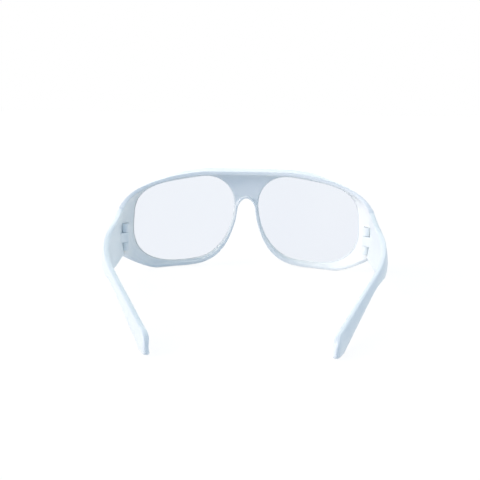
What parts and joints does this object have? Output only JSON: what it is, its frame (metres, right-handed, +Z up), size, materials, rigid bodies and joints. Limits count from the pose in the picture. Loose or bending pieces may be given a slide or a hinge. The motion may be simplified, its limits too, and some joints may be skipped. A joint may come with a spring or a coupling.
{
  "type": "laser safety glasses",
  "caption": "Wrap-round safety glasses with a moulded front, clear filter lenses and folding temples on screw hinges.",
  "frame": {"origin": "centre of the bounding box in X and Y, and the level of the rims' undersides and the temple tips in Z", "axes": "+X towards the wearer's left, -Y out through the lenses, +Y along the temples, +Z up"},
  "size_m": [0.1498, 0.158, 0.0602],
  "materials": {
    "frame": "satin white moulded plastic",
    "lens": "clear polished filter plastic, faintly tinted",
    "temple": "satin white moulded plastic",
    "screw": "plain steel",
    "insert": "turned brass"
  },
  "bodies": {
    "frame": {"front_frame": "frame", "lens_left": "lens", "lens_right": "lens", "hinge_screw_left": "screw", "hinge_screw_right": "screw", "hinge_insert_left": "insert", "hinge_insert_right": "insert"},
    "temple_left": {"temple_left": "temple"},
    "temple_right": {"temple_right": "temple"}
  },
  "joints": [
    {"name": "temple_left_fold", "type": "hinge", "parent": "frame", "child": "temple_left", "pos_m": [0.0698, -0.04885, 0.02228], "axis": [0, 0, 1], "range_deg": [0, 78]},
    {"name": "temple_right_fold", "type": "hinge", "parent": "frame", "child": "temple_right", "pos_m": [-0.0698, -0.04885, 0.02228], "axis": [0, 0, -1], "range_deg": [0, 68]}
  ]
}
